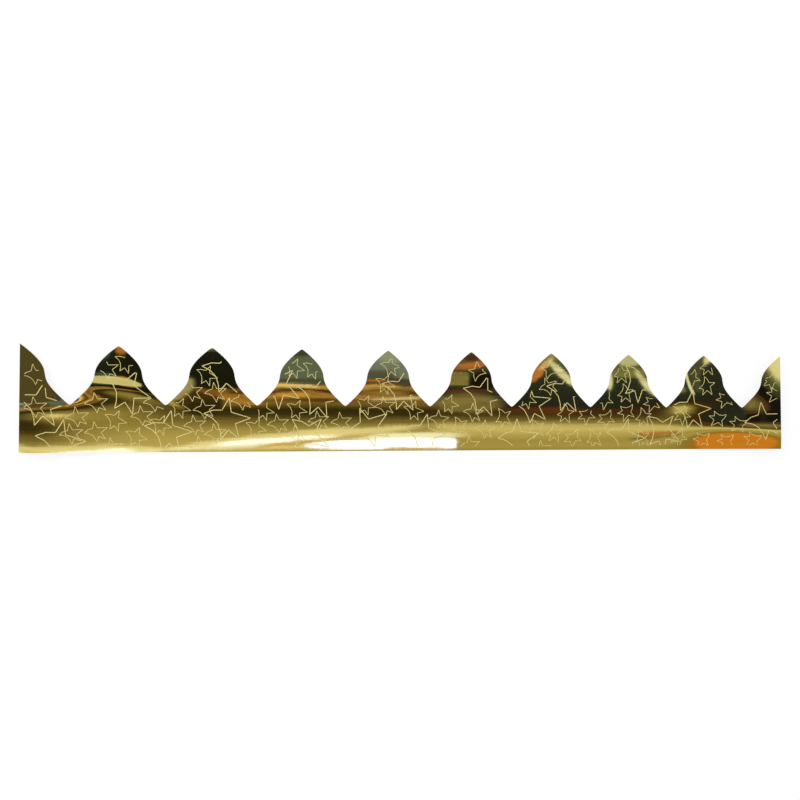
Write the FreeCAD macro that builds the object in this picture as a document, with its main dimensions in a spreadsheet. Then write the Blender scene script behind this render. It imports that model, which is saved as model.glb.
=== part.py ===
import FreeCAD, Part
import os

import PartDesign
import Sketcher

# Paper crown: one die-cut strip of foil-faced card, lying open on its back with the foil up.
# The strip runs along X, its teeth point to +Y, and its two cut ends lift off the table in a
# gentle curl. The origin is under the middle of the strip, at table height.
# Lengths are in millimetres and angles in degrees.

SIZES = {
    # strip
    "tooth_pitch": 69.0,        # from one tip to the next
    "full_teeth": 8,            # whole teeth; a half tooth follows at each cut end
    "band_height": 35.0,        # from the straight edge to the point of a valley
    "tooth_height": 45.0,       # from there to the tips
    "card_thickness": 0.35,     # card with its foil
    # ends
    "curl_length": 103.5,       # length of each lifted end, seen from above
    "curl_radius": 600.0,       # radius of the card's back there
    # one side of a tooth: a pointed arch down to a waist, then a flare into the valley
    "tip_slope": 38.5,          # fall of the arch as it leaves the tip
    "tip_pull": 4.0,            # how far the arch follows that slope
    "waist_width": 33.6,        # width of a tooth at its waist
    "waist_height": 25.3,       # height of the waist over the valley's point
    "waist_lean": 10.0,         # lean of the side there, from upright
    "waist_pull_up": 8.5,       # how far the arch follows that lean
    "waist_pull_down": 7.0,     # how far the flare follows it
    "flank_slope": 42.3,        # rise of the flare out of the valley
    "flank_pull": 23.9,         # how far the flare follows that slope
    # corners, as the cutting rule leaves them
    "tip_radius": 1.0,
    "valley_radius": 1.5,
    # height of the cutter over the tips, where it cuts air
    "cut_overrun": 5.0,
}

ROW_LENGTH = "Sizes.full_teeth * Sizes.tooth_pitch"   # from the first notch to the last

# Sketcher's names for the points of an element, its own axes and their crossing
START, END, CENTRE = range(1, 4)
X_AXIS, Y_AXIS = -1, -2
ORIGIN = (X_AXIS, START)

CLOSE = 0.01   # how near a corner an edge has to stand to be that corner's

Vector = FreeCAD.Vector


def make_sheet(doc):
    """Spreadsheet of the driving sizes, one alias a row."""
    sheet = doc.addObject("Spreadsheet::Sheet", "Sizes")
    for row, (alias, value) in enumerate(SIZES.items(), start=1):
        sheet.set(f"A{row}", alias)
        sheet.set(f"B{row}", str(value))
        sheet.setAlias(f"B{row}", alias)
    doc.recompute()
    return sheet


def new_sketch(body, name, role):
    """Empty sketch on one of the body's own origin planes."""
    sketch = body.newObject("Sketcher::SketchObject", name)
    plane = next(item for item in body.Origin.OriginFeatures if item.Role == role)
    sketch.AttachmentSupport = [(plane, "")]
    sketch.MapMode = "FlatFace"
    return sketch


def constrain(sketch, *terms):
    """Add a geometric constraint."""
    sketch.addConstraint(Sketcher.Constraint(*terms))


def drive(sketch, formula, *terms):
    """Add a dimension that follows a formula of the sheet's sizes."""
    index = sketch.addConstraint(Sketcher.Constraint(*terms))
    sketch.setExpression(f"Constraints[{index}]", formula)


def sketch_bend(body, sheet):
    """Side view of the card: flat in the middle, with a tangent arc up at each end."""
    sketch = new_sketch(body, "bend_profile", "XZ_Plane")
    thickness, radius = sheet.card_thickness, sheet.curl_radius
    half = (sheet.full_teeth + 1) * sheet.tooth_pitch / 2
    flat = half - sheet.curl_length

    def side(height, arc_radius):
        """One side of the card: its left arc, its straight and its right arc."""
        def on_arc(run, sign):
            return Vector(sign * (flat + run), radius - (arc_radius**2 - run**2) ** 0.5, 0)

        run, middle = sheet.curl_length, sheet.curl_length / 2
        left = Part.Arc(on_arc(run, -1), on_arc(middle, -1), Vector(-flat, height, 0))
        line = Part.LineSegment(Vector(-flat, height, 0), Vector(flat, height, 0))
        right = Part.Arc(Vector(flat, height, 0), on_arc(middle, 1), on_arc(run, 1))
        ids = [sketch.addGeometry(piece) for piece in (left, line, right)]
        constrain(sketch, "Tangent", ids[0], END, ids[1], START)
        constrain(sketch, "Tangent", ids[1], END, ids[2], START)
        return ids

    left_back, back, right_back = side(0, radius)
    left_face, face, right_face = side(thickness, radius - thickness)
    for back_arc, face_arc, end in ((left_back, left_face, START), (right_back, right_face, END)):
        low = sketch.Geometry[back_arc]
        top = sketch.Geometry[face_arc]
        points = (low.StartPoint, top.StartPoint) if end == START else (low.EndPoint, top.EndPoint)
        cut = sketch.addGeometry(Part.LineSegment(*points))
        constrain(sketch, "Coincident", back_arc, end, cut, START)
        constrain(sketch, "Coincident", face_arc, end, cut, END)
        constrain(sketch, "Vertical", cut)
        constrain(sketch, "Coincident", back_arc, CENTRE, face_arc, CENTRE)

    constrain(sketch, "PointOnObject", back, START, X_AXIS)
    constrain(sketch, "Symmetric", back, START, back, END, Y_AXIS)
    constrain(sketch, "Equal", left_back, right_back)
    drive(sketch, "Sizes.curl_radius", "Radius", right_back, radius)
    drive(sketch, "Sizes.card_thickness", "DistanceY", back, END, face, END, thickness)
    for line_end, arc, arc_end in ((END, right_back, END), (START, left_back, START)):
        ends = (back, line_end, arc, arc_end) if arc == right_back else (arc, arc_end, back, line_end)
        drive(sketch, "Sizes.curl_length", "DistanceX", *ends, sheet.curl_length)
    drive(
        sketch,
        "(Sizes.full_teeth + 1) * Sizes.tooth_pitch - 2 * Sizes.curl_length",
        "DistanceX", back, START, back, END, 2 * flat,
    )
    return sketch


# The poles of one side of a notch, from the tip of the tooth down to the valley. Each is the
# formula of its distance from the notch's centre line and of its height over the straight edge.
TIP_X = "Sizes.tooth_pitch / 2"
TIP_Y = "Sizes.band_height + Sizes.tooth_height"
WAIST_X = "(Sizes.tooth_pitch - Sizes.waist_width) / 2"
WAIST_Y = "Sizes.band_height + Sizes.waist_height"
ARCH_POLES = (
    (TIP_X, TIP_Y),
    (f"{TIP_X} - Sizes.tip_pull * cos(Sizes.tip_slope)",
     f"{TIP_Y} - Sizes.tip_pull * sin(Sizes.tip_slope)"),
    (f"{WAIST_X} + Sizes.waist_pull_up * sin(Sizes.waist_lean)",
     f"{WAIST_Y} + Sizes.waist_pull_up * cos(Sizes.waist_lean)"),
    (WAIST_X, WAIST_Y),
)
FLARE_POLES = (
    (WAIST_X, WAIST_Y),
    (f"{WAIST_X} - Sizes.waist_pull_down * sin(Sizes.waist_lean)",
     f"{WAIST_Y} - Sizes.waist_pull_down * cos(Sizes.waist_lean)"),
    ("Sizes.flank_pull * cos(Sizes.flank_slope)",
     "Sizes.band_height + Sizes.flank_pull * sin(Sizes.flank_slope)"),
    ("0", "Sizes.band_height"),
)


def sketch_notch(body, sheet):
    """The notch between two teeth: an arch and a flare on each side, closed over the tips."""
    sketch = new_sketch(body, "notch_outline", "XY_Plane")

    def curve(poles, side):
        """Smooth curve on one side; gives its index and those of its poles."""
        values = [[float(sheet.evalExpression(formula)) for formula in pole] for pole in poles]
        points = [Vector(side * across, up, 0) for across, up in values]
        index = sketch.addGeometry(
            Part.BSplineCurve(points, None, None, False, len(points) - 1, None, False)
        )
        sketch.exposeInternalGeometry(index)
        return index, [index + number for number in range(1, len(points) + 1)]

    arch, arch_poles = curve(ARCH_POLES, 1)
    flare, flare_poles = curve(FLARE_POLES, 1)
    left_arch, left_arch_poles = curve(ARCH_POLES, -1)
    left_flare, left_flare_poles = curve(FLARE_POLES, -1)

    free_poles = list(zip(arch_poles, ARCH_POLES)) + list(zip(flare_poles, FLARE_POLES))[1:-1]
    for pole, formulas in free_poles:
        for direction, formula in zip(("DistanceX", "DistanceY"), formulas):
            value = float(sheet.evalExpression(formula))
            drive(sketch, formula, direction, *ORIGIN, pole, CENTRE, value)
    drive(
        sketch, FLARE_POLES[-1][1],
        "DistanceY", *ORIGIN, flare_poles[-1], CENTRE, sheet.band_height,
    )
    constrain(sketch, "PointOnObject", flare_poles[-1], CENTRE, Y_AXIS)
    constrain(sketch, "Coincident", arch, END, flare, START)
    constrain(sketch, "Coincident", left_arch, END, left_flare, START)
    constrain(sketch, "Coincident", flare, END, left_flare, END)
    for left, right in zip(
        left_arch_poles + left_flare_poles[1:-1], arch_poles + flare_poles[1:-1]
    ):
        constrain(sketch, "Symmetric", left, CENTRE, right, CENTRE, Y_AXIS)

    tip = sketch.Geometry[arch].StartPoint
    over = tip.add(Vector(0, sheet.cut_overrun, 0))
    corners = (tip, over, Vector(-over.x, over.y, 0), Vector(-tip.x, tip.y, 0))
    rise, top, fall = (
        sketch.addGeometry(Part.LineSegment(*pair)) for pair in zip(corners, corners[1:])
    )
    constrain(sketch, "Coincident", arch, START, rise, START)
    constrain(sketch, "Coincident", rise, END, top, START)
    constrain(sketch, "Coincident", top, END, fall, START)
    constrain(sketch, "Coincident", fall, END, left_arch, START)
    constrain(sketch, "Vertical", rise)
    constrain(sketch, "Vertical", fall)
    constrain(sketch, "Horizontal", top)
    drive(sketch, "Sizes.cut_overrun", "DistanceY", rise, START, rise, END, sheet.cut_overrun)
    return sketch


def corner_edges(shape, number, first, pitch, height):
    """Names of the edges through the card at a row of corners, one pitch apart."""
    spots = [Vector(first + step * pitch, height, 0) for step in range(number)]

    def stands_on(edge, spot):
        return all(
            Vector(vertex.X, vertex.Y, 0).distanceToPoint(spot) < CLOSE for vertex in edge.Vertexes
        )

    return [
        f"Edge{index}"
        for index, edge in enumerate(shape.Edges, start=1)
        if any(stands_on(edge, spot) for spot in spots)
    ]


def round_corners(doc, body, name, base, edges, formula):
    """Round a row of corners with one radius of the sheet."""
    rounding = body.newObject("PartDesign::Fillet", name)
    rounding.Base = (base, edges)
    rounding.setExpression("Radius", formula)
    doc.recompute()
    return rounding


def make_strip(doc, sheet):
    """The whole strip: bent card, its row of notches, and their rounded corners."""
    body = doc.addObject("PartDesign::Body", "crown_strip")
    body.Label = "crown_strip"

    card = body.newObject("PartDesign::Pad", "bent_card")
    card.Profile = sketch_bend(body, sheet)
    card.setExpression("Length", TIP_Y)
    card.Reversed = True
    doc.recompute()

    outline = sketch_notch(body, sheet)
    outline.setExpression("AttachmentOffset.Base.x", f"-{ROW_LENGTH} / 2")
    notch = body.newObject("PartDesign::Pocket", "first_notch")
    notch.Profile = outline
    notch.Type = "ThroughAll"
    notch.SideType = "Symmetric"
    doc.recompute()

    row = body.newObject("PartDesign::LinearPattern", "notch_row")
    row.Originals = [notch]
    row.Direction = (outline, ["H_Axis"])
    row.Mode = "Extent"
    row.setExpression("Length", ROW_LENGTH)
    row.setExpression("Occurrences", "Sizes.full_teeth + 1")
    body.Tip = row
    doc.recompute()

    pitch, teeth = sheet.tooth_pitch, sheet.full_teeth
    tips = corner_edges(
        row.Shape, teeth, -(teeth - 1) * pitch / 2, pitch, sheet.band_height + sheet.tooth_height
    )
    tip_rounding = round_corners(doc, body, "tip_rounding", row, tips, "Sizes.tip_radius")
    valleys = corner_edges(
        tip_rounding.Shape, teeth + 1, -teeth * pitch / 2, pitch, sheet.band_height
    )
    round_corners(doc, body, "valley_rounding", tip_rounding, valleys, "Sizes.valley_radius")

    body.setExpression("Placement.Base.y", f"-({TIP_Y}) / 2")
    doc.recompute()
    return body


def check(doc, parts):
    """Stop if any object failed, or a part isn't one sound solid."""
    for item in doc.Objects:
        if {"Invalid", "Error"} & set(item.State):
            raise RuntimeError(f"{item.Name}: {item.State}")
        if item.isDerivedFrom("Sketcher::SketchObject") and item.solve() != 0:
            raise RuntimeError(f"{item.Name}: the sketch has no solution")
    for part in parts:
        if part.Shape.isNull() or not part.Shape.isValid() or len(part.Shape.Solids) != 1:
            raise RuntimeError(f"{part.Label}: not one sound solid")


def main():
    doc = FreeCAD.newDocument("paper_crown")
    sheet = make_sheet(doc)
    parts = [make_strip(doc, sheet)]
    check(doc, parts)
    os.makedirs("parts", exist_ok=True)
    for part in parts:
        part.Shape.exportStep(f"parts/{part.Label}.step")


main()
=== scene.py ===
"""The paper crown laid open on a table: mirror foil on white card, printed with star outlines."""

import logging
import math
from dataclasses import dataclass
from enum import Enum

import bpy
import numpy as np
from mathutils import Matrix, Vector


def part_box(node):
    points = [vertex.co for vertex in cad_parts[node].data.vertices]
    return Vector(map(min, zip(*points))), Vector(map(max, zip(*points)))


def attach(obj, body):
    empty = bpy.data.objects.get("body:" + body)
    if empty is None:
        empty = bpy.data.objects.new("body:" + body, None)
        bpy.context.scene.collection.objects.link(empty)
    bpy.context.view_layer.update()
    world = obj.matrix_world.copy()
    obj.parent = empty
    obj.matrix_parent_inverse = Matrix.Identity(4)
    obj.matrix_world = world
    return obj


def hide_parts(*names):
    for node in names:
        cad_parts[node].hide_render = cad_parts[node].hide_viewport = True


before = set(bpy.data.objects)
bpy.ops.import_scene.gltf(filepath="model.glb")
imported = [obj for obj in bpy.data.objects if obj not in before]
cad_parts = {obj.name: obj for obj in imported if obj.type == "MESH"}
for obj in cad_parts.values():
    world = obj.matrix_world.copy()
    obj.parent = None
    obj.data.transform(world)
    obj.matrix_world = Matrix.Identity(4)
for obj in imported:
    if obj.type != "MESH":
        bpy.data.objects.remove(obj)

LOG = logging.getLogger("paper_crown")
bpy.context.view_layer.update()    # the CAD model's own box, before anything is added

MM = 0.001
NODE = "crown_strip"
BODY = "root"
PITCHES = 9              # eight whole teeth, and half a tooth at each end
WHITE = (1.0, 1.0, 1.0, 1.0)


class Slot(Enum):
    """The record's material slots."""

    CARD = "foil_card"
    FOIL = "gold_foil"


class Size(Enum):
    """The two sizes of printed star, as scales of the small one."""

    SMALL = 1.0
    LARGE = 2.1


def linear(code: str) -> tuple[float, float, float, float]:
    """Turn an sRGB hex value into Blender's linear colour.

    Args:
        code: Six hex digits, such as "E6CE7C".

    Returns:
        Red, green, blue and an alpha of 1.
    """
    channels = [int(code[place:place + 2], 16) / 255 for place in (0, 2, 4)]
    bent = [c / 12.92 if c <= 0.04045 else ((c + 0.055) / 1.055) ** 2.4 for c in channels]
    return (*bent, 1.0)


def add_object(name: str, data: bpy.types.ID) -> bpy.types.Object:
    """Add an object to the scene, at the origin.

    Args:
        name: The object's name.
        data: Its mesh, curve, camera or lamp.

    Returns:
        The new object.
    """
    piece = bpy.data.objects.new(name, data)
    bpy.context.scene.collection.objects.link(piece)
    return piece


def bare_material(name: str) -> bpy.types.Material:
    """Add a material whose node tree is empty.

    Args:
        name: The material's name.

    Returns:
        The new material.
    """
    material = bpy.data.materials.new(name)
    material.use_nodes = True
    material.node_tree.nodes.clear()
    return material


def add_node(tree: bpy.types.NodeTree, kind: str, settings: dict | None = None,
             inputs: dict | None = None) -> bpy.types.Node:
    """Add a node with its settings, values and links.

    Args:
        tree: The node tree that gets the node.
        kind: The node's type, such as "ShaderNodeMath".
        settings: The node's own options by name.
        inputs: Values for its sockets, by name or number; an output socket is linked.

    Returns:
        The new node.
    """
    node = tree.nodes.new(kind)
    for name, value in (settings or {}).items():
        setattr(node, name, value)
    for key, value in (inputs or {}).items():
        socket = node.inputs[key]
        if isinstance(value, bpy.types.NodeSocket):
            tree.links.new(value, socket)
        else:
            socket.default_value = value
    return node


@dataclass(frozen=True)
class MirrorFoil:
    """Gold-lacquered aluminium foil, polished by the rolls it was laminated between.

    To the eye it is a mirror with a yellow cast: it shows the room, drawn out along the strip
    by the faint streaks of the rolls.
    """

    name: str = "mirror_gold_foil"
    gold: str = "E6CE7C"
    deep_gold: str = "E0C468"
    roughness: float = 0.02
    roll_streaks: tuple[float, float] = (60.0, 2.2)    # millimetres along and across the strip
    streak_depth: float = 0.0012                       # millimetres
    octaves: float = 3.0
    fineness: float = 0.55     # how strong each finer octave is

    def make(self) -> bpy.types.Material:
        """Build the finish.

        Returns:
            The material.
        """
        material = bare_material(self.name)
        tree = material.node_tree
        spot = add_node(tree, "ShaderNodeTexCoord").outputs["Object"]
        along, across = self.roll_streaks
        stretched = add_node(tree, "ShaderNodeMapping", inputs={
            "Vector": spot, "Scale": (1 / (along * MM), 1 / (across * MM), 1.0),
        }).outputs["Vector"]
        streaks = add_node(tree, "ShaderNodeTexNoise", inputs={
            "Vector": stretched, "Scale": 1.0, "Detail": self.octaves,
            "Roughness": self.fineness,
        }).outputs["Fac"]
        cast = add_node(tree, "ShaderNodeMix", {"data_type": "RGBA"}, {
            "Factor": streaks, 6: linear(self.deep_gold), 7: linear(self.gold),
        }).outputs[2]
        bump = add_node(tree, "ShaderNodeBump", inputs={
            "Height": streaks, "Distance": self.streak_depth * MM, "Strength": 1.0,
        }).outputs["Normal"]
        shader = add_node(tree, "ShaderNodeBsdfPrincipled", inputs={
            "Base Color": cast, "Metallic": 1.0, "Roughness": self.roughness, "Normal": bump,
        })
        add_node(tree, "ShaderNodeOutputMaterial", inputs={"Surface": shader.outputs[0]})
        return material


@dataclass(frozen=True)
class MatteLine:
    """Pale gold printing ink, screened onto the foil.

    Its grains scatter the light, so a line stays pale where the mirror round it goes dark.
    """

    name: str = "matte_pale_ink"
    ink: str = "FBEFA6"
    thin_ink: str = "EADB8E"
    roughness: float = 0.5
    metallic: float = 0.6
    grain: float = 0.6         # millimetres, coarser than the real grains so that it shows
    octaves: float = 2.0

    def make(self) -> bpy.types.Material:
        """Build the finish.

        Returns:
            The material.
        """
        material = bare_material(self.name)
        tree = material.node_tree
        spot = add_node(tree, "ShaderNodeTexCoord").outputs["Object"]
        grains = add_node(tree, "ShaderNodeTexNoise", inputs={
            "Vector": spot, "Scale": 1 / (self.grain * MM), "Detail": self.octaves,
        }).outputs["Fac"]
        tone = add_node(tree, "ShaderNodeMix", {"data_type": "RGBA"}, {
            "Factor": grains, 6: linear(self.thin_ink), 7: linear(self.ink),
        }).outputs[2]
        shader = add_node(tree, "ShaderNodeBsdfPrincipled", inputs={
            "Base Color": tone, "Metallic": self.metallic, "Roughness": self.roughness,
        })
        add_node(tree, "ShaderNodeOutputMaterial", inputs={"Surface": shader.outputs[0]})
        return material


@dataclass(frozen=True)
class CardStock:
    """Uncoated white card, rolled from wood pulp.

    It is matt, with a faint cloud of fibres.
    """

    name: str = "uncoated_white_card"
    pulp: str = "F2EFE8"
    fibre: str = "E4DFD3"
    roughness: float = 0.9
    cloud: float = 9.0         # millimetres across a flock of fibres
    fibre_size: float = 0.8    # millimetres, drawn coarser than real fibres so that they show
    fibre_curl: float = 1.5    # how far the fibres wander
    fibre_share: float = 0.6   # of the mottle, the rest is cloud
    tooth: float = 0.02        # millimetres deep
    tooth_strength: float = 0.6
    cloud_octaves: float = 4.0
    fibre_octaves: float = 3.0

    def make(self) -> bpy.types.Material:
        """Build the finish.

        Returns:
            The material.
        """
        material = bare_material(self.name)
        tree = material.node_tree
        spot = add_node(tree, "ShaderNodeTexCoord").outputs["Object"]
        cloud = add_node(tree, "ShaderNodeTexNoise", inputs={
            "Vector": spot, "Scale": 1 / (self.cloud * MM), "Detail": self.cloud_octaves,
        }).outputs["Fac"]
        fibres = add_node(tree, "ShaderNodeTexNoise", inputs={
            "Vector": spot, "Scale": 1 / (self.fibre_size * MM), "Detail": self.fibre_octaves,
            "Distortion": self.fibre_curl,
        }).outputs["Fac"]
        mottle = add_node(tree, "ShaderNodeMix", inputs={
            "Factor": self.fibre_share, "A": cloud, "B": fibres,
        }).outputs[0]
        tone = add_node(tree, "ShaderNodeMix", {"data_type": "RGBA"}, {
            "Factor": mottle, 6: linear(self.fibre), 7: linear(self.pulp),
        }).outputs[2]
        bump = add_node(tree, "ShaderNodeBump", inputs={
            "Height": fibres, "Distance": self.tooth * MM, "Strength": self.tooth_strength,
        }).outputs["Normal"]
        shader = add_node(tree, "ShaderNodeBsdfPrincipled", inputs={
            "Base Color": tone, "Roughness": self.roughness, "Normal": bump,
        })
        add_node(tree, "ShaderNodeOutputMaterial", inputs={"Surface": shader.outputs[0]})
        return material


@dataclass(frozen=True)
class ToothOutline:
    """One side of a tooth, from its tip to the bottom of the notch beside it, in millimetres."""

    pitch: float
    height: float
    band_height: float = 35.0
    tip_slope: float = 38.5
    tip_pull: float = 4.0
    waist_width: float = 33.6
    waist_height: float = 25.3
    waist_lean: float = 10.0
    waist_pull_up: float = 8.5
    waist_pull_down: float = 7.0
    flank_slope: float = 42.3
    flank_pull: float = 23.9
    tip_radius: float = 1.0
    valley_radius: float = 1.5
    fine: int = 400            # points a curve is worked out at before it is measured off

    def curve(self, poles: tuple[tuple[float, float], ...]) -> np.ndarray:
        """Points along the smooth curve that four poles pull.

        Args:
            poles: The curve's ends with its two handles between them.

        Returns:
            An array of points, one a row.
        """
        share = np.linspace(0, 1, self.fine)[:, None]
        rest = 1 - share
        first, second, third, last = np.array(poles, float)
        return (rest**3 * first + 3 * rest**2 * share * second
                + 3 * rest * share**2 * third + share**3 * last)

    def side(self) -> np.ndarray:
        """The whole side as points.

        Returns:
            An array with one point a row: distance from the tip's centre line, and height.
        """
        slope, lean, flank = (
            math.radians(angle) for angle in (self.tip_slope, self.waist_lean, self.flank_slope)
        )
        waist = (self.waist_width / 2, self.band_height + self.waist_height)
        arch = self.curve((
            (0.0, self.height),
            (self.tip_pull * math.cos(slope), self.height - self.tip_pull * math.sin(slope)),
            (waist[0] - self.waist_pull_up * math.sin(lean),
             waist[1] + self.waist_pull_up * math.cos(lean)),
            waist,
        ))
        valley = (self.pitch / 2, self.band_height)
        flare = self.curve((
            waist,
            (waist[0] + self.waist_pull_down * math.sin(lean),
             waist[1] - self.waist_pull_down * math.cos(lean)),
            (valley[0] - self.flank_pull * math.cos(flank),
             valley[1] + self.flank_pull * math.sin(flank)),
            valley,
        ))
        points = np.vstack((arch, flare[1:]))
        return self.rounded(points)

    def rounded(self, points: np.ndarray) -> np.ndarray:
        """Round the tip and the bottom of the notch, as the cutting rule does.

        Args:
            points: The sharp side.

        Returns:
            The side with its two ends on their arcs.
        """
        points = points.copy()
        slope, flank = math.radians(self.tip_slope), math.radians(self.flank_slope)
        tip = np.abs(points[:, 0]) < self.tip_radius * math.sin(slope)
        points[tip, 1] = (self.height - self.tip_radius / math.cos(slope)
                          + np.sqrt(self.tip_radius**2 - points[tip, 0] ** 2))
        off = self.pitch / 2 - points[:, 0]
        dip = off < self.valley_radius * math.sin(flank)
        points[dip, 1] = (self.band_height + self.valley_radius / math.cos(flank)
                          - np.sqrt(self.valley_radius**2 - off[dip] ** 2))
        return points

    def spaced(self, step: float) -> np.ndarray:
        """The side as points at even steps along it.

        Args:
            step: About how far apart the points are.

        Returns:
            An array of points, from the tip to the bottom of the notch.
        """
        points = self.side()
        run = np.concatenate(([0.0], np.cumsum(np.hypot(*np.diff(points, axis=0).T))))
        places = np.linspace(0, run[-1], round(run[-1] / step) + 1)
        return np.column_stack([np.interp(places, run, points[:, axis]) for axis in (0, 1)])


@dataclass(frozen=True)
class Swell:
    """One soft rise or dip of the sheet, in millimetres over the strip."""

    x: float
    y: float
    length: float
    width: float
    rise: float
    turn: float = 0.0          # degrees
    bend: float = 0.0          # how far its ends droop

    def lift(self, x: np.ndarray, y: np.ndarray) -> np.ndarray:
        """How far it lifts the sheet.

        Args:
            x: Places along the strip.
            y: Places up from its straight edge.

        Returns:
            The lift at each place, in millimetres.
        """
        angle = math.radians(self.turn)
        run = (x - self.x) * math.cos(angle) + (y - self.y) * math.sin(angle)
        off = (y - self.y) * math.cos(angle) - (x - self.x) * math.sin(angle)
        off = off + self.bend * (run / self.length) ** 2
        return self.rise * np.exp(-((run / self.length) ** 2) - (off / self.width) ** 2)


@dataclass
class CardStrip:
    """The strip itself: foil on card, flat in the middle and curling up at its two ends."""

    outline: ToothOutline
    half_length: float
    curl_length: float = 103.5
    curl_radius: float = 600.0
    foil_thickness: float = 0.03
    thickness: float = 0.35
    pitches: int = PITCHES
    step: float = 2.0          # millimetres between the columns of the mesh, along the outline
    band_rows: int = 32
    tooth_rows: int = 42
    crease: float = 40.0       # degrees, past which an edge is drawn sharp
    swells: tuple[Swell, ...] = ()

    def back(self, x: np.ndarray, layer: float) -> np.ndarray:
        """Height of one layer of the bent card, before the sheet's own swells.

        Args:
            x: Places along the strip.
            layer: How far the layer is from the card's back.

        Returns:
            The layer's height at each place.
        """
        run = np.maximum(np.abs(x) - (self.half_length - self.curl_length), 0)
        return self.curl_radius - np.sqrt((self.curl_radius - layer) ** 2 - run**2)

    def swell(self, x: np.ndarray, y: np.ndarray) -> np.ndarray:
        """How far all the swells together lift the sheet.

        Args:
            x: Places along the strip.
            y: Places up from its straight edge.

        Returns:
            The lift at each place, in millimetres.
        """
        total = np.zeros(np.broadcast(x, y).shape)
        for one in self.swells:
            total = total + one.lift(x, y)
        return total

    def columns(self) -> tuple[np.ndarray, np.ndarray]:
        """The columns of the mesh.

        Returns:
            Places along the strip, and how high the strip reaches there.
        """
        side = self.outline.spaced(self.step)
        pitch = self.outline.pitch
        wave = np.vstack((side, [(pitch - x, y) for x, y in side[-2::-1]]))[:-1]
        runs = [wave + (pitch * number - self.half_length, 0) for number in range(self.pitches)]
        whole = np.vstack((*runs, [(self.half_length, side[0][1])]))
        whole[(0, -1), 1] = self.outline.height      # the cut ends keep their corner sharp
        return whole[:, 0], whole[:, 1]

    def grid(self) -> tuple[np.ndarray, np.ndarray]:
        """The mesh's points, seen from over the strip.

        Returns:
            Their places along and up the strip, each as rows by columns.
        """
        x, top = self.columns()
        band = self.outline.band_height
        low = np.linspace(0, band, self.band_rows + 1)[:, None] * np.ones_like(x)
        share = np.linspace(0, 1, self.tooth_rows + 1)[1:, None]
        y = np.vstack((low, band + share * (top - band)))
        return np.broadcast_to(x, y.shape), y

    def layer_mesh(self, name: str, low: float, high: float) -> bpy.types.Object:
        """Closed mesh of one layer of the sheet.

        Args:
            name: The piece's name.
            low: Height of its underside in the sheet, in millimetres.
            high: Height of its upper side there.

        Returns:
            The mesh object, at the origin.
        """
        x, y = self.grid()
        rows, columns = x.shape
        swell = self.swell(x, y)
        sides = [
            np.column_stack((
                x.ravel(), (y - self.outline.height / 2).ravel(),
                np.maximum(self.back(x, layer) + swell, layer).ravel(),
            )) for layer in (high, low)
        ]
        number = np.arange(rows * columns).reshape(rows, columns)
        corners = np.stack((number[:-1, :-1], number[:-1, 1:], number[1:, 1:], number[1:, :-1]),
                           axis=-1).reshape(-1, 4)
        rim = np.concatenate((
            number[0, :-1], number[:-1, -1], number[-1, :0:-1], number[:0:-1, 0],
        ))
        beyond = np.roll(rim, -1)
        under = rows * columns
        walls = np.column_stack((rim, rim + under, beyond + under, beyond))
        faces = np.vstack((corners, corners[:, ::-1] + under, walls))
        mesh = bpy.data.meshes.new(name)
        mesh.from_pydata((np.vstack(sides) * MM).tolist(), [], faces.tolist())
        mesh.polygons.foreach_set("use_smooth", [True] * len(faces))
        mesh.set_sharp_from_angle(angle=math.radians(self.crease))
        mesh.update()
        return add_object(name, mesh)

    def rim(self, name: str) -> bpy.types.Object:
        """The strip's outline as bare edges at table height, to measure margins from.

        Args:
            name: The object's name.

        Returns:
            The outline's object.
        """
        x, top = self.columns()
        points = list(zip(x, top))
        points += [(self.half_length, 0.0), (-self.half_length, 0.0)]
        middle = self.outline.height / 2
        mesh = bpy.data.meshes.new(name)
        count = len(points)
        mesh.from_pydata([(px * MM, (py - middle) * MM, 0.0) for px, py in points],
                         [(at, (at + 1) % count) for at in range(count)], [])
        return add_object(name, mesh)

    def build(self, foil: bpy.types.Material, card: bpy.types.Material) -> list[bpy.types.Object]:
        """Make the foil and the card under it.

        Args:
            foil: The foil's finish.
            card: The card's finish.

        Returns:
            The foil and the card, in that order.
        """
        seam = self.thickness - self.foil_thickness
        pieces = []
        for name, low, high, finish, slot in (
            ("foil_face", seam, self.thickness, foil, Slot.FOIL),
            ("card_core", 0.0, seam, card, Slot.CARD),
        ):
            piece = self.layer_mesh(name, low, high)
            piece.data.materials.append(finish)
            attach(piece, BODY)
            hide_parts(NODE)
            LOG.info("%s: %d faces", name, len(piece.data.polygons))
            pieces.append(piece)
        return pieces


@dataclass(frozen=True)
class Star:
    """One printed star: its middle over the strip in millimetres, and its turn in degrees."""

    x: float
    y: float
    turn: float
    size: Size = Size.SMALL


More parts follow.
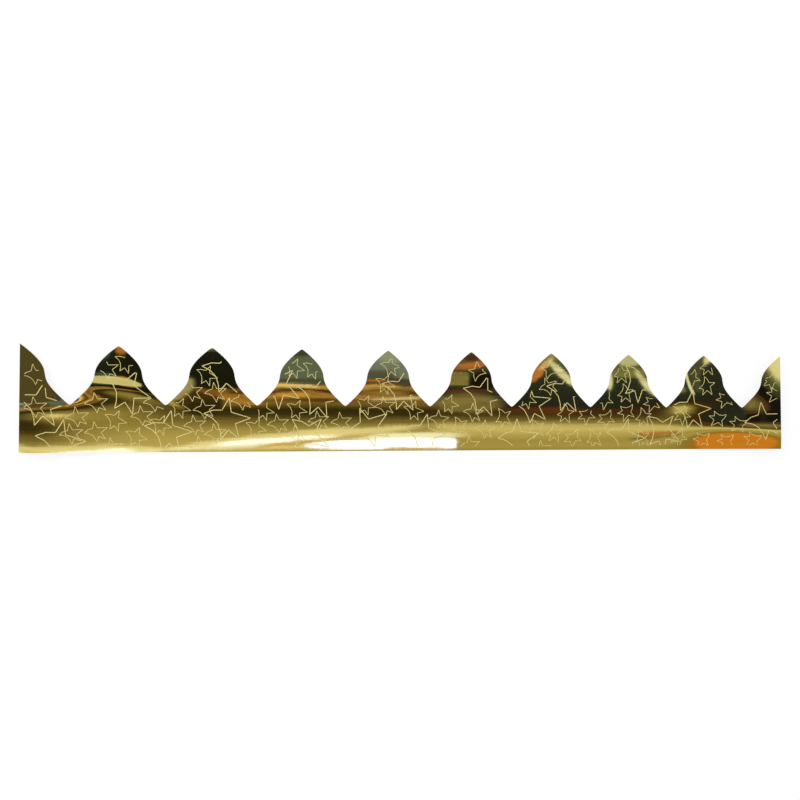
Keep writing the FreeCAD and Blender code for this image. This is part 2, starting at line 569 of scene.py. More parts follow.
@dataclass
class StarPrint:
    """The star outlines printed on the foil, clipped to a margin inside the strip's edge."""

    stars: tuple[Star, ...]
    middle: float              # height of the strip's middle over its straight edge
    corners: tuple[tuple[float, float], ...] = (
        (-8.6, -0.8), (-5.8, 1.5), (-2.8, 2.5), (-1.8, 7.7), (0.6, 2.9), (8.0, 3.2), (3.4, -0.6),
        (6.6, -5.4), (1.8, -3.6), (0.4, -7.6), (-0.7, -5.2), (-2.6, -2.7), (-5.2, -1.3),
    )
    line_width: float = 0.42   # of a small star
    broad_line: float = 1.5    # a large star's line, as a share of a small one's
    line_thickness: float = 0.04
    margin: float = 3.0
    shortest: float = 3.0      # shortest piece of line that is printed
    cuts: int = 7              # points added along each side of a star
    drop: float = 1.0          # metres over the table from which the lines fall on the foil

    def template(self) -> bpy.types.Object:
        """One star as a closed line: four sharp notches, and one long hollow side.

        Returns:
            The line's object.
        """
        curve = bpy.data.curves.new("star_template", "CURVE")
        curve.dimensions = "3D"
        spline = curve.splines.new("POLY")
        spline.points.add(len(self.corners) - 1)
        for point, (x, y) in zip(spline.points, self.corners):
            point.co = (x * MM, y * MM, 0.0, 1.0)
        spline.use_cyclic_u = True
        return add_object("star_template", curve)

    def places(self) -> bpy.types.Object:
        """A bare point for each star, with its turn and size as attributes.

        Returns:
            The points' object, which becomes the printed lines.
        """
        mesh = bpy.data.meshes.new("star_places")
        mesh.from_pydata(
            [(star.x * MM, (star.y - self.middle) * MM, 0.0) for star in self.stars], [], []
        )
        turn = mesh.attributes.new("turn", "FLOAT", "POINT")
        turn.data.foreach_set("value", [math.radians(star.turn) for star in self.stars])
        size = mesh.attributes.new("size", "FLOAT", "POINT")
        size.data.foreach_set("value", [star.size.value for star in self.stars])
        return add_object("star_lines", mesh)

    def tree(self) -> bpy.types.NodeTree:
        """Geometry nodes: a star on each point, clipped, laid on the foil and given its width.

        Returns:
            The node tree.
        """
        tree = bpy.data.node_groups.new("printed_stars", "GeometryNodeTree")
        for name, kind in (
            ("Geometry", "NodeSocketGeometry"), ("Star", "NodeSocketObject"),
            ("Rim", "NodeSocketObject"), ("Foil", "NodeSocketObject"),
            ("Margin", "NodeSocketFloat"), ("Line Width", "NodeSocketFloat"),
            ("Line Thickness", "NodeSocketFloat"), ("Broad Line", "NodeSocketFloat"),
            ("Shortest", "NodeSocketFloat"), ("Cuts", "NodeSocketInt"),
            ("Ink", "NodeSocketMaterial"),
        ):
            tree.interface.new_socket(name, in_out="INPUT", socket_type=kind)
        tree.interface.new_socket("Geometry", in_out="OUTPUT", socket_type="NodeSocketGeometry")
        given = add_node(tree, "NodeGroupInput").outputs
        star, rim, foil = (
            add_node(tree, "GeometryNodeObjectInfo", inputs={"Object": given[name]})
            .outputs["Geometry"] for name in ("Star", "Rim", "Foil")
        )
        turn, size = (
            add_node(tree, "GeometryNodeInputNamedAttribute", {"data_type": "FLOAT"},
                     {"Name": name}).outputs["Attribute"] for name in ("turn", "size")
        )
        heading = add_node(tree, "ShaderNodeCombineXYZ", inputs={"Z": turn}).outputs[0]
        rotation = add_node(tree, "FunctionNodeEulerToRotation", inputs={0: heading}).outputs[0]
        stars = add_node(tree, "GeometryNodeInstanceOnPoints", inputs={
            "Points": given["Geometry"], "Instance": star, "Rotation": rotation, "Scale": size,
        }).outputs[0]
        lines = add_node(tree, "GeometryNodeRealizeInstances", inputs={0: stars}).outputs[0]
        lines = add_node(tree, "GeometryNodeSubdivideCurve", inputs={
            "Curve": lines, "Cuts": given["Cuts"],
        }).outputs[0]
        wires = add_node(tree, "GeometryNodeCurveToMesh", inputs={"Curve": lines}).outputs[0]

        spot = add_node(tree, "GeometryNodeInputPosition").outputs[0]
        edge = add_node(tree, "GeometryNodeProximity", {"target_element": "EDGES"},
                        {0: rim}).outputs["Distance"]
        near = add_node(tree, "FunctionNodeCompare",
                        {"data_type": "FLOAT", "operation": "LESS_THAN"},
                        {0: edge, 1: given["Margin"]}).outputs[0]
        above = add_node(tree, "ShaderNodeVectorMath", {"operation": "ADD"},
                         {0: spot, 1: (0.0, 0.0, self.drop)}).outputs[0]
        fall = add_node(tree, "GeometryNodeRaycast", inputs={
            "Target Geometry": foil, "Source Position": above, "Ray Direction": (0.0, 0.0, -1.0),
            "Ray Length": 2 * self.drop,
        })
        missed = add_node(tree, "FunctionNodeBooleanMath", {"operation": "NOT"},
                          {0: fall.outputs["Is Hit"]}).outputs[0]
        outside = add_node(tree, "FunctionNodeBooleanMath", {"operation": "OR"},
                           {0: near, 1: missed}).outputs[0]
        kept = add_node(tree, "GeometryNodeDeleteGeometry", {"domain": "POINT"},
                        {"Geometry": wires, "Selection": outside}).outputs[0]
        laid = add_node(tree, "GeometryNodeSetPosition", inputs={
            "Geometry": kept, "Position": fall.outputs["Hit Position"],
        }).outputs[0]
        curves = add_node(tree, "GeometryNodeMeshToCurve", inputs={0: laid}).outputs[0]
        length = add_node(tree, "GeometryNodeSplineLength").outputs["Length"]
        short = add_node(tree, "FunctionNodeCompare",
                         {"data_type": "FLOAT", "operation": "LESS_THAN"},
                         {0: length, 1: given["Shortest"]}).outputs[0]
        whole = add_node(tree, "GeometryNodeDeleteGeometry", {"domain": "CURVE"},
                         {"Geometry": curves, "Selection": short}).outputs[0]
        breadth = add_node(tree, "ShaderNodeMapRange", inputs={
            "Value": size, "From Min": Size.SMALL.value, "From Max": Size.LARGE.value,
            "To Min": 1.0, "To Max": given["Broad Line"],
        }).outputs[0]
        upright = add_node(tree, "GeometryNodeSetCurveNormal", {"mode": "Z_UP"},
                           {"Curve": whole}).outputs[0]
        section = add_node(tree, "GeometryNodeCurvePrimitiveQuadrilateral", {"mode": "RECTANGLE"},
                           {"Width": given["Line Width"], "Height": given["Line Thickness"]})
        ribbons = add_node(tree, "GeometryNodeCurveToMesh", inputs={
            "Curve": upright, "Profile Curve": section.outputs[0], "Scale": breadth,
            "Fill Caps": True,
        }).outputs[0]
        plain = add_node(tree, "GeometryNodeRealizeInstances", inputs={0: ribbons}).outputs[0]
        inked = add_node(tree, "GeometryNodeSetMaterial", inputs={
            "Geometry": plain, "Material": given["Ink"],
        }).outputs[0]
        add_node(tree, "NodeGroupOutput", inputs={"Geometry": inked})
        return tree

    def build(self, strip: CardStrip, foil: bpy.types.Object, ink: bpy.types.Material) -> None:
        """Print the stars on the foil.

        Args:
            strip: The strip, whose outline gives the margin.
            foil: The foil that the lines lie on.
            ink: The lines' finish.
        """
        star, rim, carrier = self.template(), strip.rim("strip_rim"), self.places()
        tree = self.tree()
        modifier = carrier.modifiers.new("stars", "NODES")
        modifier.node_group = tree
        values = {
            "Star": star, "Rim": rim, "Foil": foil, "Margin": self.margin * MM,
            "Line Width": self.line_width * MM, "Line Thickness": self.line_thickness * MM,
            "Broad Line": self.broad_line, "Shortest": self.shortest * MM, "Cuts": self.cuts,
            "Ink": ink,
        }
        for item in tree.interface.items_tree:
            if item.in_out == "INPUT" and item.name in values:
                modifier[item.identifier] = values[item.name]
        depsgraph = bpy.context.evaluated_depsgraph_get()
        mesh = bpy.data.meshes.new_from_object(carrier.evaluated_get(depsgraph))
        carrier.modifiers.clear()
        carrier.data = mesh
        mesh.name = "star_lines"
        for spare in (star, rim):
            bpy.data.objects.remove(spare)
        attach(carrier, BODY)
        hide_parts(NODE)
        LOG.info("star_lines: %d stars, %d faces", len(self.stars), len(mesh.polygons))


@dataclass(frozen=True)
class SkyPatch:
    """A soft-edged patch of the studio that the foil mirrors.

    Its place and half sizes are tangents of the angle from straight up: the first along the
    strip, the second across it. They are written as the millimetres of flat foil that show it,
    and its tone is written as the foil shows it.
    """

    x: float
    y: float
    length: float
    width: float
    tone: str
    turn: float = 0.0          # degrees
    bend: float = 0.0          # how far its ends droop, in half widths
    soft: float = 0.35         # share of its half size that fades out
    streaks: float = 0.0       # how far streaks along the strip break it up
    glow: float = 1.0          # more than 1 for a lamp
    square: bool = False


@dataclass
class Studio:
    """Floor, lamp, surroundings and camera."""

    foil_gold: str
    middle: float              # millimetres from the strip's straight edge to its middle
    eye: tuple[float, float, float] = (-201.0, -15.0, 778.7)     # millimetres in the row frame
    pitch: float = -1.14       # degrees
    yaw: float = 12.75
    roll: float = -0.33
    lens: float = 45.0
    sensor: float = 36.0
    clip: tuple[float, float] = (0.01, 100.0)                    # metres
    floor_size: float = 40.0                                     # metres
    table_white: float = 0.8         # as the light that it scatters sees it
    shaded_share: float = 0.3        # of its white that a shadow can darken
    glow_share: float = 0.76         # of its white that no shadow darkens
    lamp_place: tuple[float, float, float] = (-1.6, 1.1, 1.5)    # metres
    lamp_size: float = 1.2                                       # metres
    lamp_power: float = 14.0                                     # watts
    patches: tuple[SkyPatch, ...] = ()
    left_bands: tuple[tuple[float, str], ...] = ()
    right_bands: tuple[tuple[float, str], ...] = ()
    band_range: tuple[float, float] = (-60.0, 140.0)             # millimetres, as the patches
    change_over: tuple[float, float] = (-5.0, 14.0)              # where left gives way to right
    long_waves: tuple[float, float, float] = (55.0, 5.0, 3.0)    # length, width, shift
    hairs: tuple[float, float, float] = (1.1, 8.0, 2.0)          # length, width, shift
    octaves: float = 3.0             # of the waves, the hairs and the shapes on the walls
    streak_range: tuple[float, float] = (0.4, 0.6)               # of the waves, that tear a patch
    round_power: float = 2.0
    square_power: float = 8.0
    reach: tuple[float, float] = (460.0, 130.0)                  # half sizes of what is painted
    fade: tuple[float, float] = (0.9, 1.5)           # shares of the reach where the walls begin
    horizon: float = 0.001           # lowest upward share of a direction that is worked with
    plain_light: tuple[float, float, float, float] = (0.7, 0.7, 0.7, 1.0)    # on matt things
    wall_cells: tuple[float, float, float] = (3.0, 3.0, 20.0)    # shapes in one unit of direction
    wall_rise: tuple[float, float] = (0.1, 0.3)      # heights where shapes start and are full
    wall_tones: tuple[tuple[float, str], ...] = (
        (0.3, "4A3F1A"), (0.4, "7A6A32"), (0.46, "A8924A"), (0.52, "D8C070"), (0.6, "E6CE7C"),
    )

    def camera(self) -> None:
        """The photograph's view, from over the strip's left half."""
        data = bpy.data.cameras.new("view")
        data.lens, data.sensor_width = self.lens, self.sensor
        data.clip_start, data.clip_end = self.clip
        camera = add_object("view", data)
        turned = (Matrix.Rotation(math.radians(-self.pitch), 4, "X")
                  @ Matrix.Rotation(math.radians(-self.yaw), 4, "Y")
                  @ Matrix.Rotation(math.radians(-self.roll), 4, "Z"))
        camera.matrix_world = Matrix.Translation(Vector(self.eye) * MM) @ turned
        bpy.context.scene.camera = camera

    def floor(self) -> None:
        """White table, as pale as it is written and a little darker under the strip."""
        half = self.floor_size / 2
        mesh = bpy.data.meshes.new("floor")
        mesh.from_pydata([(-half, -half, 0), (half, -half, 0), (half, half, 0), (-half, half, 0)],
                         [], [(0, 1, 2, 3)])
        floor = add_object("floor", mesh)
        material = bare_material("white_table")
        tree = material.node_tree
        path = add_node(tree, "ShaderNodeLightPath").outputs
        mirrored = add_node(tree, "ShaderNodeMath", {"operation": "MAXIMUM"}, {
            0: path["Is Glossy Ray"], 1: path["Is Transmission Ray"],
        }).outputs[0]
        seen = add_node(tree, "ShaderNodeMath", {"operation": "MAXIMUM"}, {
            0: path["Is Camera Ray"], 1: mirrored,
        }).outputs[0]
        plain, faint = (
            add_node(tree, "ShaderNodeBsdfDiffuse", inputs={"Color": (grey, grey, grey, 1.0)})
            for grey in (self.table_white, self.shaded_share)
        )
        glow = add_node(tree, "ShaderNodeEmission", inputs={
            "Color": WHITE, "Strength": self.glow_share,
        })
        white = add_node(tree, "ShaderNodeAddShader", inputs={
            0: faint.outputs[0], 1: glow.outputs[0],
        })
        mixed = add_node(tree, "ShaderNodeMixShader", inputs={
            0: seen, 1: plain.outputs[0], 2: white.outputs[0],
        })
        add_node(tree, "ShaderNodeOutputMaterial", inputs={"Surface": mixed.outputs[0]})
        floor.data.materials.append(material)

    def lamp(self) -> None:
        """One broad soft lamp from the upper left."""
        data = bpy.data.lights.new("soft_box", "AREA")
        data.shape, data.size = "SQUARE", self.lamp_size
        data.energy = self.lamp_power
        lamp = add_object("soft_box", data)
        lamp.location = self.lamp_place
        lamp.rotation_euler = (-lamp.location).to_track_quat("-Z", "Y").to_euler()

    def sky(self, tone: str, glow: float = 1.0) -> tuple[float, float, float, float]:
        """The sky's own colour, from the tone that the gold foil shows of it.

        Args:
            tone: The tone in the foil, as a hex value.
            glow: How many times brighter it is.

        Returns:
            Linear red, green, blue and alpha.
        """
        gold = linear(self.foil_gold)
        return (*(glow * part / base for part, base in zip(linear(tone)[:3], gold)), 1.0)

    def fill(self, stops: bpy.types.ColorRampElements,
             tones: tuple[tuple[float, str], ...]) -> None:
        """Give a colour ramp its stops.

        Args:
            stops: The ramp's stops, as Blender makes them.
            tones: Each stop's place on the ramp, and its tone as the foil shows it.
        """
        stops.remove(stops[-1])
        for index, (position, tone) in enumerate(tones):
            stop = stops.new(position) if index else stops[0]
            stop.position = position
            stop.color = self.sky(tone)

    def patch_group(self) -> bpy.types.NodeTree:
        """Node group that lays one soft-edged patch over the tones so far.

        Returns:
            The group's tree.
        """
        tree = bpy.data.node_groups.new("soft_patch", "ShaderNodeTree")
        for name, kind in (
            ("Tone", "NodeSocketColor"), ("Place", "NodeSocketVector"),
            ("Streak", "NodeSocketFloat"), ("Middle", "NodeSocketVector"),
            ("Turn", "NodeSocketVector"), ("Half Size", "NodeSocketVector"),
            ("Bend", "NodeSocketFloat"), ("Power", "NodeSocketFloat"),
            ("Core", "NodeSocketFloat"), ("Edge", "NodeSocketFloat"),
            ("Least", "NodeSocketFloat"), ("Colour", "NodeSocketColor"),
        ):
            tree.interface.new_socket(name, in_out="INPUT", socket_type=kind)
        tree.interface.new_socket("Tone", in_out="OUTPUT", socket_type="NodeSocketColor")
        given = add_node(tree, "NodeGroupInput").outputs
        local = add_node(tree, "ShaderNodeMapping", {"vector_type": "TEXTURE"}, {
            "Vector": given["Place"], "Location": given["Middle"], "Rotation": given["Turn"],
            "Scale": given["Half Size"],
        }).outputs[0]
        run, off, _ = add_node(tree, "ShaderNodeSeparateXYZ", inputs={0: local}).outputs
        square = add_node(tree, "ShaderNodeMath", {"operation": "MULTIPLY"}, {0: run, 1: run})
        arched = add_node(tree, "ShaderNodeMath", {"operation": "MULTIPLY_ADD"}, {
            0: square.outputs[0], 1: given["Bend"], 2: off,
        })
        powers = []
        for value in (run, arched.outputs[0]):
            size = add_node(tree, "ShaderNodeMath", {"operation": "ABSOLUTE"}, {0: value})
            powers.append(add_node(tree, "ShaderNodeMath", {"operation": "POWER"}, {
                0: size.outputs[0], 1: given["Power"],
            }).outputs[0])
        total = add_node(tree, "ShaderNodeMath", {"operation": "ADD"}, dict(enumerate(powers)))
        root = add_node(tree, "ShaderNodeMath", {"operation": "DIVIDE"}, {
            0: 1.0, 1: given["Power"],
        })
        reach = add_node(tree, "ShaderNodeMath", {"operation": "POWER"}, {
            0: total.outputs[0], 1: root.outputs[0],
        })
        cover = add_node(tree, "ShaderNodeMapRange", {"interpolation_type": "SMOOTHSTEP"}, {
            "Value": reach.outputs[0], "From Min": given["Core"], "From Max": given["Edge"],
            "To Min": 1.0, "To Max": 0.0,
        })
        broken = add_node(tree, "ShaderNodeMapRange", inputs={
            "Value": given["Streak"], "From Min": self.streak_range[0],
            "From Max": self.streak_range[1], "To Min": given["Least"], "To Max": 1.0,
        })
        share = add_node(tree, "ShaderNodeMath", {"operation": "MULTIPLY"}, {
            0: cover.outputs[0], 1: broken.outputs[0],
        })
        mixed = add_node(tree, "ShaderNodeMix", {"data_type": "RGBA"}, {
            "Factor": share.outputs[0], 6: given["Tone"], 7: given["Colour"],
        })
        add_node(tree, "NodeGroupOutput", inputs={"Tone": mixed.outputs[2]})
        return tree

    def painted(self, tree: bpy.types.NodeTree, place: bpy.types.NodeSocket
                ) -> bpy.types.NodeSocket:
        """What the foil mirrors overhead: bands of tone with patches over them.

        Args:
            tree: The world's node tree.
            place: Place in the sky, as the millimetres of flat foil that show it.

        Returns:
            The colour there.
        """
        noises = []
        for length, width, _ in (self.long_waves, self.hairs):
            cell = add_node(tree, "ShaderNodeVectorMath", {"operation": "MULTIPLY"}, {
                0: place, 1: (1 / length, 1 / width, 0.0),
            })
            noises.append(add_node(tree, "ShaderNodeTexNoise", inputs={
                "Vector": cell.outputs[0], "Scale": 1.0, "Detail": self.octaves,
            }).outputs)
        torn = place
        for noise, (_, _, shift) in zip(noises, (self.long_waves, self.hairs)):
            torn = add_node(tree, "ShaderNodeVectorMath", {"operation": "MULTIPLY_ADD"}, {
                0: noise["Color"], 1: (0.0, shift, 0.0), 2: torn,
            }).outputs[0]
        torn = add_node(tree, "ShaderNodeVectorMath", {"operation": "SUBTRACT"}, {
            0: torn, 1: (0.0, (self.long_waves[2] + self.hairs[2]) / 2, 0.0),
        }).outputs[0]
        x, y, _ = add_node(tree, "ShaderNodeSeparateXYZ", inputs={0: torn}).outputs
        low, high = self.band_range
        share = add_node(tree, "ShaderNodeMapRange", inputs={
            "Value": y, "From Min": low, "From Max": high, "To Min": 0.0, "To Max": 1.0,
        })
        ramps = []
        for bands in (self.left_bands, self.right_bands):
            ramp = add_node(tree, "ShaderNodeValToRGB", inputs={0: share.outputs[0]})
            self.fill(ramp.color_ramp.elements, tuple(
                ((edge - low) / (high - low), tone) for edge, tone in bands))
            ramps.append(ramp.outputs[0])
        first, last = self.change_over
        side = add_node(tree, "ShaderNodeMapRange", {"interpolation_type": "SMOOTHSTEP"}, {
            "Value": x, "From Min": first, "From Max": last, "To Min": 0.0, "To Max": 1.0,
        })
        colour = add_node(tree, "ShaderNodeMix", {"data_type": "RGBA"}, {
            "Factor": side.outputs[0], 6: ramps[0], 7: ramps[1],
        }).outputs[2]
        group = self.patch_group()
        for patch in self.patches:
            colour = add_node(tree, "ShaderNodeGroup", {"node_tree": group}, {
                "Tone": colour, "Place": torn, "Streak": noises[0]["Fac"],
                "Middle": (patch.x, patch.y, 0.0),
                "Turn": (0.0, 0.0, math.radians(patch.turn)),
                "Half Size": (patch.length, patch.width, 1.0), "Bend": patch.bend,
                "Power": self.square_power if patch.square else self.round_power,
                "Core": 1.0 - patch.soft, "Edge": 1.0 + patch.soft,
                "Least": 1.0 - patch.streaks, "Colour": self.sky(patch.tone, patch.glow),
            }).outputs[0]
        return colour

    def walls(self, tree: bpy.types.NodeTree, ray: bpy.types.NodeSocket,
              height: bpy.types.NodeSocket) -> bpy.types.NodeSocket:
        """The walls: white low down, and higher up the dim things that a foil would mirror.

        Args:
            tree: The world's node tree.
            ray: The direction looked in.
            height: Its upward share.

        Returns:
            The colour there.
        """
        cell = add_node(tree, "ShaderNodeVectorMath", {"operation": "MULTIPLY"}, {
            0: ray, 1: self.wall_cells,
        })
        cloud = add_node(tree, "ShaderNodeTexNoise", inputs={
            "Vector": cell.outputs[0], "Scale": 1.0, "Detail": self.octaves,
        })
        ramp = add_node(tree, "ShaderNodeValToRGB", inputs={0: cloud.outputs["Fac"]})
        self.fill(ramp.color_ramp.elements, self.wall_tones)
        bare, full = self.wall_rise
        share = add_node(tree, "ShaderNodeMapRange", {"interpolation_type": "SMOOTHSTEP"}, {
            "Value": height, "From Min": bare, "From Max": full, "To Min": 0.0, "To Max": 1.0,
        })
        return add_node(tree, "ShaderNodeMix", {"data_type": "RGBA"}, {
            "Factor": share.outputs[0], 6: WHITE, 7: ramp.outputs[0],
        }).outputs[2]

    def world(self) -> None:
        """The room round the table: its walls, and overhead what the foil mirrors."""
        world = bpy.data.worlds.new("studio")
        world.use_nodes = True
        bpy.context.scene.world = world
        world.cycles.sampling_method = "NONE"    # what it lights, it lights evenly
        tree = world.node_tree
        tree.nodes.clear()
        ray = add_node(tree, "ShaderNodeTexCoord").outputs["Generated"]
        height = add_node(tree, "ShaderNodeSeparateXYZ", inputs={0: ray}).outputs["Z"]
        up = add_node(tree, "ShaderNodeMath", {"operation": "MAXIMUM"}, {
            0: height, 1: self.horizon,
        })
        stretch = add_node(tree, "ShaderNodeMath", {"operation": "DIVIDE"}, {
            0: self.eye[2], 1: up.outputs[0],
        })
        flat = add_node(tree, "ShaderNodeVectorMath", {"operation": "SCALE"}, {
            0: ray, "Scale": stretch.outputs[0],
        })
        place = add_node(tree, "ShaderNodeVectorMath", {"operation": "ADD"}, {
            0: flat.outputs[0], 1: (self.eye[0], self.eye[1] + self.middle, -self.eye[2]),
        }).outputs[0]
        painted = self.painted(tree, place)
        walls = self.walls(tree, ray, height)
        away = add_node(tree, "ShaderNodeMapping", {"vector_type": "TEXTURE"}, {
            "Vector": place, "Location": (0.0, self.middle, 0.0), "Scale": (*self.reach, 1.0),
        })
        off = add_node(tree, "ShaderNodeVectorMath", {"operation": "LENGTH"},
                       {0: away.outputs[0]}).outputs["Value"]
        near, far = self.fade
        room = add_node(tree, "ShaderNodeMapRange", {"interpolation_type": "SMOOTHSTEP"}, {
            "Value": off, "From Min": near, "From Max": far, "To Min": 0.0, "To Max": 1.0,
        })
        mixed = add_node(tree, "ShaderNodeMix", {"data_type": "RGBA"}, {
            "Factor": room.outputs[0], 6: painted, 7: walls,
        })
        shine = add_node(tree, "ShaderNodeBackground", inputs={
            "Color": mixed.outputs[2], "Strength": 1.0,
        })
        plain = add_node(tree, "ShaderNodeBackground", inputs={
            "Color": self.plain_light, "Strength": 1.0,
        })
        scattered = add_node(tree, "ShaderNodeLightPath").outputs["Is Diffuse Ray"]
        both = add_node(tree, "ShaderNodeMixShader", inputs={
            0: scattered, 1: shine.outputs[0], 2: plain.outputs[0],
        })
        add_node(tree, "ShaderNodeOutputWorld", inputs={"Surface": both.outputs[0]})

    def build(self) -> None:
        """Set up everything round the crown."""
        self.camera()
        self.floor()
        self.lamp()
        self.world()
        bpy.context.scene.view_settings.view_transform = "Standard"
        LOG.info("studio: %d patches", len(self.patches))


# A star's middle, in millimetres over the strip, and its turn in degrees
SMALL_STARS = (
    (-300, 57.5, 0), (-299.5, 33.5, 0), (-270.5, 26.5, 0), (-274.5, 14, 0), (-257, 37, 0),
    (-257, 15.5, 0), (-249.5, 62.5, 0), (-245.5, 3.5, 0), (-215, 38, 0), (-224, 27.5, 0),
    (-187.5, 46, 0), (-178, 32.5, 0), (-185, 20.5, 0), (-169.5, 45.5, 0), (-181, 4.5, 0),
    (-169.5, 14, 0), (-149.5, 39.5, 0), (-121.5, 21.5, 0), (-90, 24, 0), (-72, 23, 0),
    (-37, 35.5, 0), (-243.5, 24, -35), (-236.5, 67.5, -35), (-228.5, 11.5, -35),
    (-210.5, 20.5, -35), (-196.5, 33.5, -35), (-176.5, 58.5, -35), (-139, 18, -35),
    (-133, 32, -35), (-109.5, 65, -35), (-107.5, 32.5, -35), (-95, 64.5, -35), (-53, 36.5, -35),
    (-37, 53, -35), (-32.5, 67, -20), (-13.5, 32, -25), (7.5, 25, -11), (15.7, 37.7, -33),
    (24.8, 19.5, -67), (39.8, 64.5, 72), (36.3, 30.5, -11), (46.5, 17, -11), (62, 26.7, -64),
    (82.5, 42, -43), (101, 52.3, 12), (102.5, 66.5, 66), (116, 29.8, -87), (134.7, 28.6, -119),
    (152.3, 25.5, -122), (151, 41.5, -121), (106.3, 14, -88), (122.5, 9.5, -121),
    (141.5, 9.5, -66), (166, 63.3, -79), (169.8, 47, -80), (170.7, 31.3, -134), (186, 27, -80),
    (194.3, 39, -134), (184.8, 9.3, -67), (218.5, 9.7, -113), (221.8, 28.7, -112),
    (230.8, 60, -114), (245.3, 70.7, -80), (244.5, 53.7, -79), (261, 42.5, -138),
    (254.2, 25.7, -159), (272.7, 21, -160), (285.5, 8, -160), (261.8, 6.7, -143),
    (240, 8, -145), (306, 46.5, -155), (302.5, 58.5, -112), (90.5, 17.5, -67), (95.5, 0.5, 0),
    (34, 4, 0), (-107, 13, 0),
)
LARGE_STARS = (
    (-295.5, 35.5, -20), (-282, 8, -20), (-235, 46, -38), (-205, 15, -21), (-162.5, 61, -20),
    (-161, 25, -19), (-121, 50.3, -52), (-90, 43, -30), (-98, 12, -50), (-50, 19, 14),
    (-22.5, 48, -22), (-4.8, 13, -22), (44.7, 43.9, -26), (75.3, 9.3, -7), (85.8, 38, -7),
    (116.7, 47.5, -22), (169.6, 9.5, -22), (182, 57, -54), (203.5, 15, -50), (230.3, 33.3, -17),
    (296.3, 24, -1),
)

# What the two halves of the strip mirror: millimetres over its straight edge, and the tone
LEFT_BANDS = (
    (-60, "8A6A20"), (-12, "8F7A35"), (-3, "9C8840"), (0, "A8924A"), (1.5, "C4AF60"),
    (8, "B8A354"), (15, "A8954A"), (19, "94803A"), (23, "75642A"), (26, "5A4C1E"),
    (28, "3A300F"), (33, "2E260C"), (35, "5A481C"), (38, "7A5F25"), (40, "6A4E1E"),
    (41.5, "9A7230"), (43, "A87F33"), (44.5, "7A541E"), (45.5, "3F2A0C"), (47, "4A300F"),
    (48, "8F6A2A"), (49.5, "C79A45"), (51, "B08D48"), (51.8, "3C3318"), (56, "35331F"),
    (58, "1C1D10"), (78.5, "1E2012"), (80.5, "C8BE78"), (100, "C8BE78"), (140, "8F8F6A"),
)
RIGHT_BANDS = (
    (-60, "C87A1E"), (-12, "C87A1E"), (-8, "9A6A1E"), (-3, "8A7630"), (0, "97843C"),
    (3, "A8944A"), (8, "A08C40"), (14, "BBA658"), (18, "CDBB6C"), (21, "B8A65C"),
    (23.5, "7E6E30"), (27, "4E431A"), (30, "3C2A10"), (33, "47290F"), (35, "2A2211"),
    (38, "23251A"), (58, "2A2D1E"), (66, "3A3D24"), (74, "5A5A34"), (79, "8F8B55"),
    (83, "D8D08C"), (100, "E0D890"), (140, "B0A870"),
)

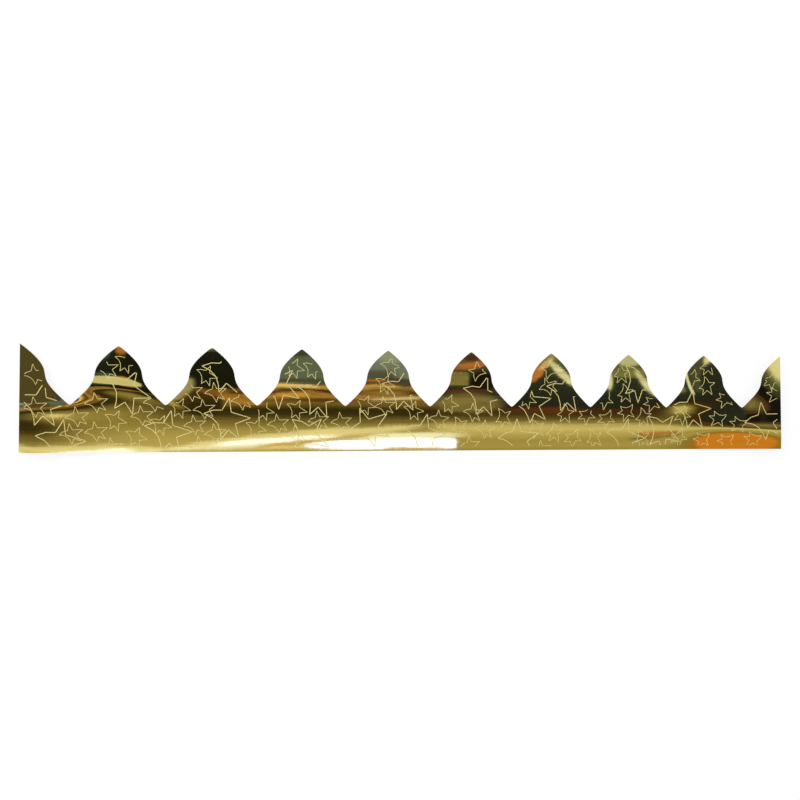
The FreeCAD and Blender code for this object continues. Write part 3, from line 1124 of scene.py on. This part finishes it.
# What lies over the bands, later ones over earlier ones
PATCHES = (
    SkyPatch(-140, 11, 70, 1.9, "E8D88C", turn=6, streaks=0.3),
    SkyPatch(-70, 15, 60, 2.6, "E6D68A", turn=4, streaks=0.2),
    SkyPatch(-160, 4.4, 50, 1.9, "F6ECB4", turn=1.2, soft=0.25, streaks=0.3),
    SkyPatch(-122, 8.6, 48, 2.4, "FFFBE6", turn=3.5, soft=0.2, glow=1.2),
    SkyPatch(-18, 12, 44, 2.6, "F8F0BC", turn=1),
    SkyPatch(-100, 3.4, 40, 0.9, "E8D488", turn=1, soft=0.25),
    SkyPatch(-40, 5.6, 62, 4.0, "FFFFFF", turn=1.2, soft=0.08, glow=1.3),
    SkyPatch(2, 5.6, 20, 4.3, "FFFFFF", soft=0.05, glow=1.3, square=True),
    SkyPatch(-12, 2.0, 24, 0.9, "D0A840", turn=0.5, soft=0.25),
    SkyPatch(-92, 8.4, 48, 1.3, "C8A240", turn=6, soft=0.2),
    SkyPatch(-203, 35, 14, 6, "B4994A", streaks=0.3),
    SkyPatch(-197, 42, 14, 6, "AC944C", turn=50, soft=0.2, streaks=0.5),
    SkyPatch(-180, 38, 16, 10, "2C220B", soft=0.15, streaks=0.2),
    SkyPatch(-162, 43.5, 28, 2.6, "8E5F1C", turn=-13, soft=0.2, streaks=0.5),
    SkyPatch(-150, 39, 18, 1.8, "B0802E", turn=-10, soft=0.2, streaks=0.4),
    SkyPatch(-174, 47.5, 14, 1.4, "8A5C20", turn=-4, soft=0.2, streaks=0.3),
    SkyPatch(-172, 62.5, 24, 14.5, "191A0D", soft=0.07, square=True),
    SkyPatch(-193, 49.5, 8, 5.5, "BCAE70", turn=35, soft=0.3, streaks=0.6),
    SkyPatch(-103, 67, 18.5, 14.5, "5C644B", soft=0.05, square=True),
    SkyPatch(-103, 55, 22, 2.2, "3E3F2A", streaks=0.3),
    SkyPatch(-108, 79, 15, 5, "3E3E2A"),
    SkyPatch(-34, 68.5, 18.5, 15, "6E7762", soft=0.05, square=True),
    SkyPatch(-32, 76, 14, 6, "8C9474"),
    SkyPatch(-42, 60, 14, 4, "4E4F3C"),
    SkyPatch(-68.5, 66, 15.8, 16, "554722", soft=0.08, square=True, streaks=0.2),
    SkyPatch(-34, 55.6, 20, 2.6, "3A2C12", soft=0.2, streaks=0.2),
    SkyPatch(-44, 56.2, 9, 0.8, "B4701E", soft=0.2),
    SkyPatch(-108, 50.8, 18, 1.4, "F2CC74", turn=-2, soft=0.2),
    SkyPatch(-101, 47.6, 22, 1.6, "2E1A06", turn=-2, soft=0.2, streaks=0.2),
    SkyPatch(-111, 43.8, 14, 2.0, "CC9434", soft=0.2, streaks=0.3),
    SkyPatch(-92, 45.5, 10, 0.9, "B88838", turn=-6, soft=0.2, streaks=0.4),
    SkyPatch(-98, 40.3, 24, 1.4, "4E3412", turn=-2, soft=0.2, streaks=0.3),
    SkyPatch(-40, 52.0, 16, 1.4, "D8A84C", soft=0.2, streaks=0.3),
    SkyPatch(-32, 49.0, 20, 1.4, "5A3E14", soft=0.2, streaks=0.3),
    SkyPatch(-38, 46.0, 20, 1.2, "94743A", soft=0.2, streaks=0.4),
    SkyPatch(-34, 37.5, 26, 2.2, "6A5A2A", soft=0.3, streaks=0.4),
    SkyPatch(-28, 41.5, 22, 1.0, "D8C78A", turn=2, soft=0.2),
    SkyPatch(-70, 99, 52, 18, "4F4522", soft=0.1, square=True),
    SkyPatch(-157, 77, 5, 3.0, "B0702E", streaks=0.2),
    SkyPatch(-142, 75, 5, 4, "44503C"),
    SkyPatch(34, 76, 9, 4, "4A2A16"),
    SkyPatch(33, 68.5, 15, 3.0, "B06A2E", turn=8, soft=0.2, streaks=0.8),
    SkyPatch(23, 57.5, 9.5, 5.5, "9A8844", soft=0.08, streaks=0.5, square=True),
    SkyPatch(44, 56, 11, 8, "17140C", soft=0.2),
    SkyPatch(35, 47.5, 24, 2.0, "5A3418", soft=0.2, streaks=0.5),
    SkyPatch(32, 38, 28, 7.5, "84743A", soft=0.3, streaks=0.4),
    SkyPatch(92, 64, 10, 4, "C07A35", turn=50, soft=0.2, streaks=0.4),
    SkyPatch(99, 71, 8, 2.5, "DDBB78", turn=38, soft=0.2, streaks=0.4),
    SkyPatch(113, 63, 14, 3.2, "EFE6A6", turn=-42, soft=0.25, streaks=0.4),
    SkyPatch(98, 32.5, 32, 2.8, "5E3414", soft=0.2, streaks=0.5),
    SkyPatch(172, 77, 13, 7, "B9B57E", soft=0.2),
    SkyPatch(172, 65, 17, 5, "77753F", soft=0.2, streaks=0.4),
    SkyPatch(155.5, 57, 2.6, 7, "E0DCA0"),
    SkyPatch(137, 58, 15, 10, "4B4B2D", soft=0.15, streaks=0.3),
    SkyPatch(134, 67, 9, 4, "A8A468"),
    SkyPatch(192, 51, 19, 3.2, "E0DA98", turn=-48, soft=0.25, streaks=0.3),
    SkyPatch(195, 12.5, 16, 2.4, "A86424", soft=0.2, streaks=0.3),
    SkyPatch(191, 8.6, 18, 0.9, "4A4420", soft=0.2, streaks=0.3),
)

# How the two ends of the sheet are out of true
SWELLS = (
    Swell(-306, 85, 30, 42, -1.3),
    Swell(-285, -8, 60, 15, 0.12),
    Swell(-296, 34, 30, 8, 0.16),
    Swell(-243, 42, 32, 12, 0.10, turn=-4),
    Swell(-242, 49, 30, 5.5, 0.13, turn=-7, bend=3.0),
    Swell(262, -2, 28, 14, -0.22),
    Swell(280, 16, 46, 12, 0.27),
    Swell(222, 42, 18, 10, 0.12),
    Swell(247, 100, 26, 35, 0.45),
    Swell(315, 95, 20, 45, -1.0),
    Swell(322, 40, 14, 500, -0.54),
)


def main() -> None:
    """Build the crown and its studio."""
    logging.basicConfig(level=logging.INFO, format="%(name)s %(message)s")
    low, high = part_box(NODE)
    length, height = ((high - low)[axis] / MM for axis in (0, 1))
    strip = CardStrip(
        outline=ToothOutline(pitch=length / PITCHES, height=height),
        half_length=length / 2,
        swells=SWELLS,
    )
    finish = MirrorFoil()
    foil, card = strip.build(finish.make(), CardStock().make())
    stars = tuple(Star(*one) for one in SMALL_STARS)
    stars += tuple(Star(*one, Size.LARGE) for one in LARGE_STARS)
    StarPrint(stars=stars, middle=height / 2).build(strip, foil, MatteLine().make())
    Studio(
        foil_gold=finish.gold, middle=height / 2,
        patches=PATCHES, left_bands=LEFT_BANDS, right_bands=RIGHT_BANDS,
    ).build()


if __name__ == "__main__":
    main()
